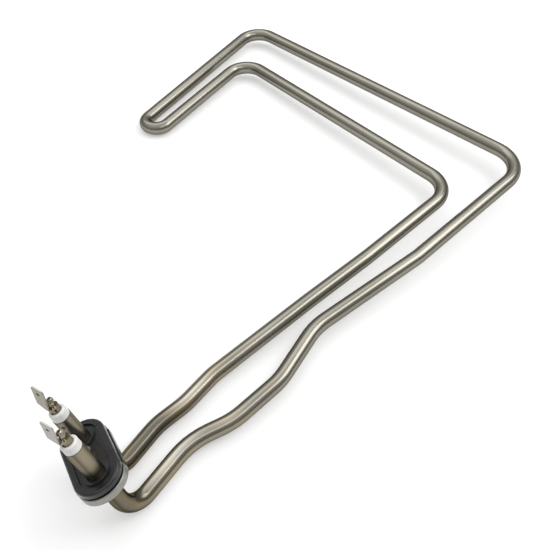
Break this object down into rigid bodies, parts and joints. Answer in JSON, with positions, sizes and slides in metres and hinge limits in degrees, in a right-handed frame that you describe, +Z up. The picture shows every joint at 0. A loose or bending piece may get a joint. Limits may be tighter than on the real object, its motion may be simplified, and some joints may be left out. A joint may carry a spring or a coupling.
{
  "type": "immersion heater",
  "caption": "Bent tubular heating element with a rubber sealing gasket and two blade terminals.",
  "frame": {"origin": "centre of the gasket's outer face, between the two terminals", "axes": "+Z up from the plane that the loop lies in, +Y from the gasket along the legs to the cross runs, +X across, away from the far arms"},
  "size_m": [0.2554, 0.3364, 0.0685],
  "materials": {
    "sheath": "satin stainless, with a brown heat tint near the gasket",
    "magnesia": "packed white powder",
    "winding": "dull resistance wire",
    "pin": "plated steel, tinted by welding",
    "seal": "matt sealing compound",
    "bush": "satin white ceramic",
    "collar": "steel, tinted brown by welding",
    "blade": "satin plated sheet",
    "gasket": "charcoal, matt to satin",
    "plate": "satin sheet",
    "stud": "plated steel",
    "braze": "dull braze metal"
  },
  "bodies": {
    "root": {"sheath_tube": "sheath", "magnesia_fill": "magnesia", "magnesia_core": "magnesia", "heating_coil": "winding", "cold_pin_front": "pin", "cold_pin_back": "pin", "end_seal_front": "seal", "end_seal_back": "seal", "ceramic_bush_front": "bush", "ceramic_bush_back": "bush", "pin_collar_front": "collar", "pin_collar_back": "collar", "blade_front": "blade", "blade_back": "blade", "rubber_gasket": "gasket", "back_plate": "plate", "centre_stud": "stud", "braze_front": "braze", "braze_back": "braze"}
  },
  "joints": []
}
